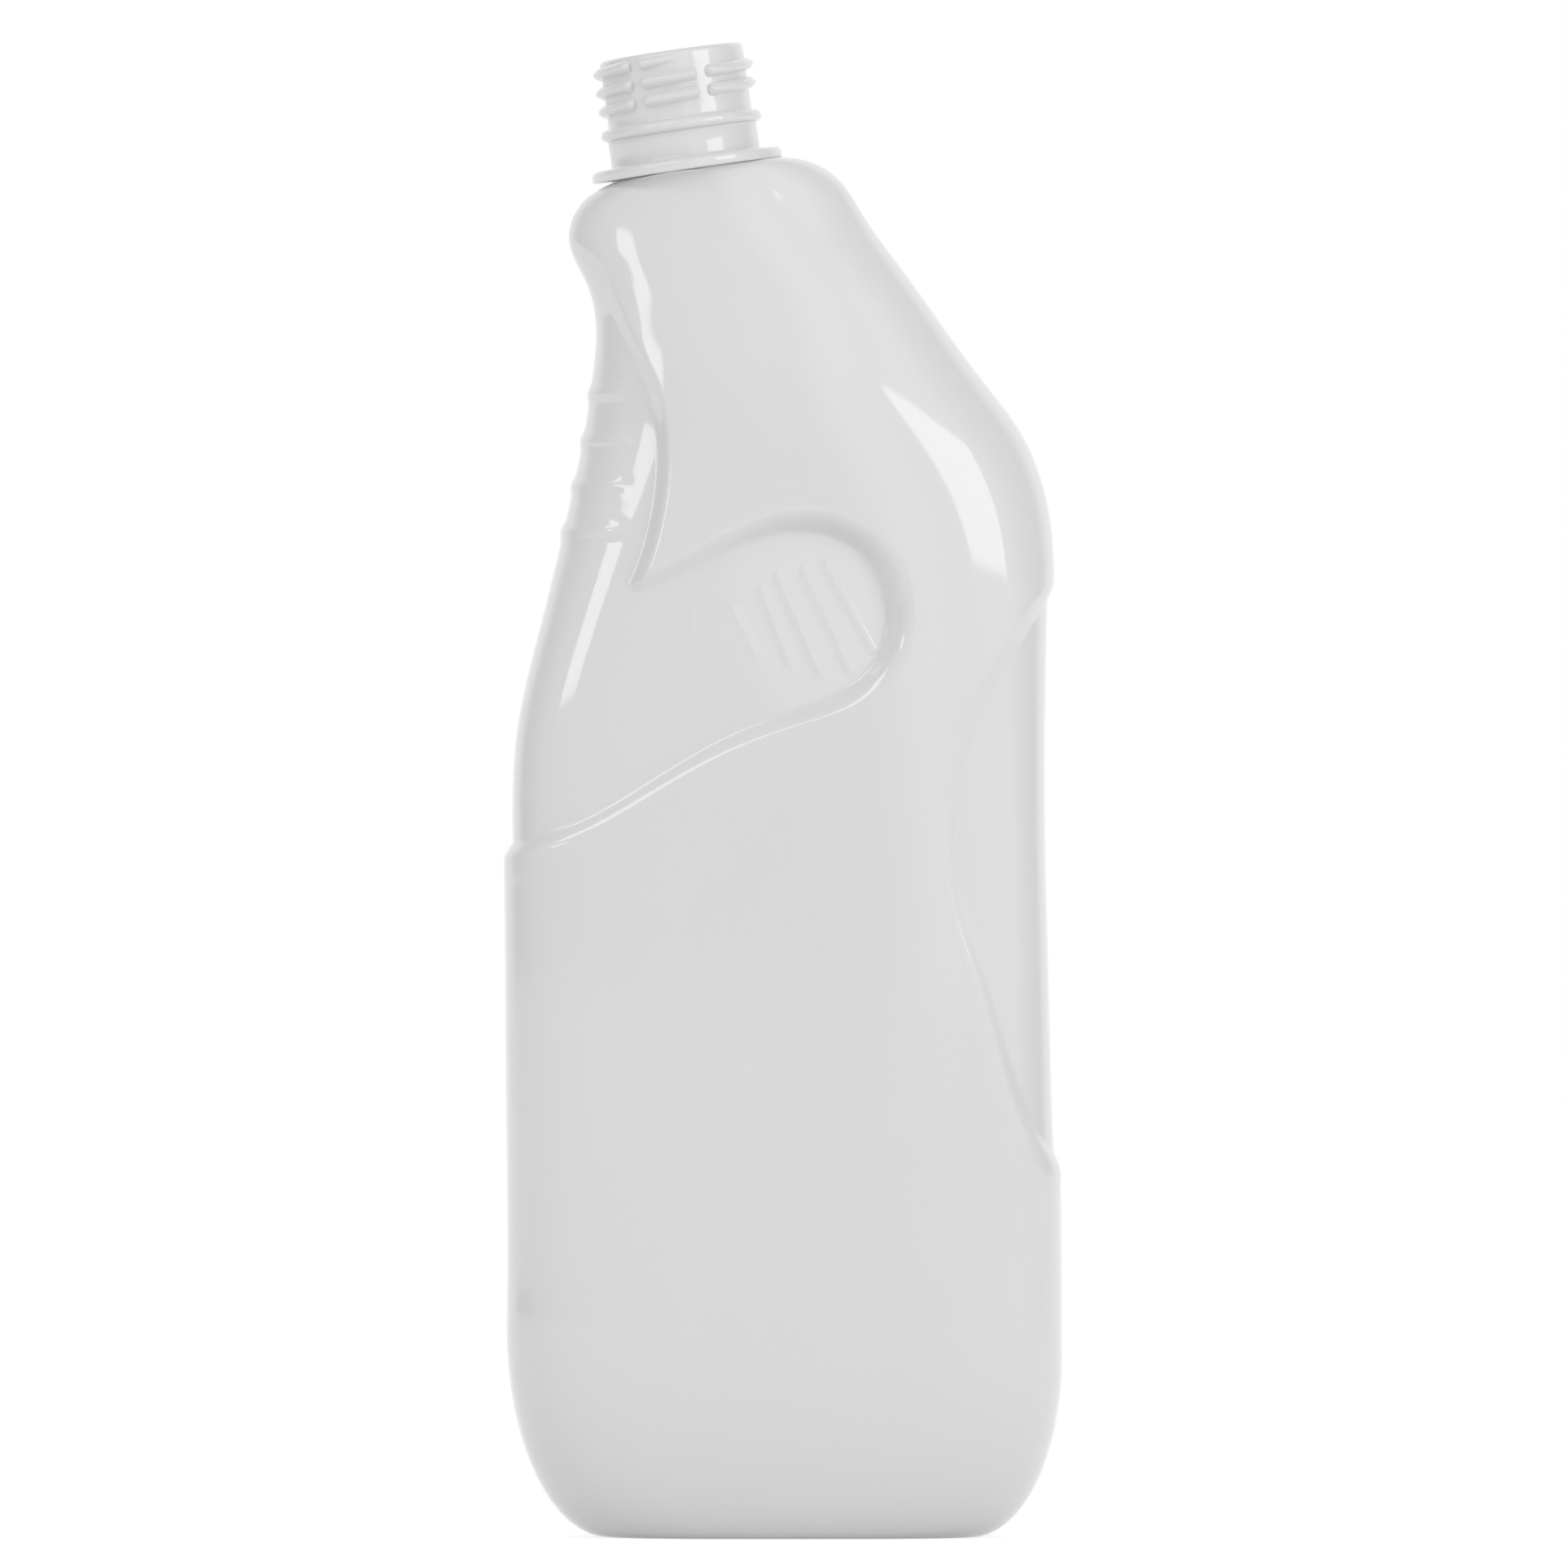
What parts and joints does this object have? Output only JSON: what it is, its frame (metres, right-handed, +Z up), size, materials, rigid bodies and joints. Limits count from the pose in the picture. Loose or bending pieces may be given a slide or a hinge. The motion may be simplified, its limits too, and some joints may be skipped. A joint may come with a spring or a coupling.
{
  "type": "trigger spray bottle",
  "caption": "Opaque white blown plastic bottle for a trigger sprayer, with a leaning threaded neck, a ribbed thumb recess, a finger grip on the front and a palm hollow at the back",
  "frame": {"origin": "On the floor under the bottle, midway between its front and back lines and in its middle plane", "axes": "+Z up; X across the broad side, with the finger grip at -X and the palm hollow at +X; Y through the depth, the same on both sides"},
  "size_m": [0.0964, 0.0502, 0.2577],
  "materials": {
    "bottle_plastic": "glossy opaque white blown polyester"
  },
  "bodies": {
    "root": {"bottle": "bottle_plastic"}
  },
  "joints": []
}
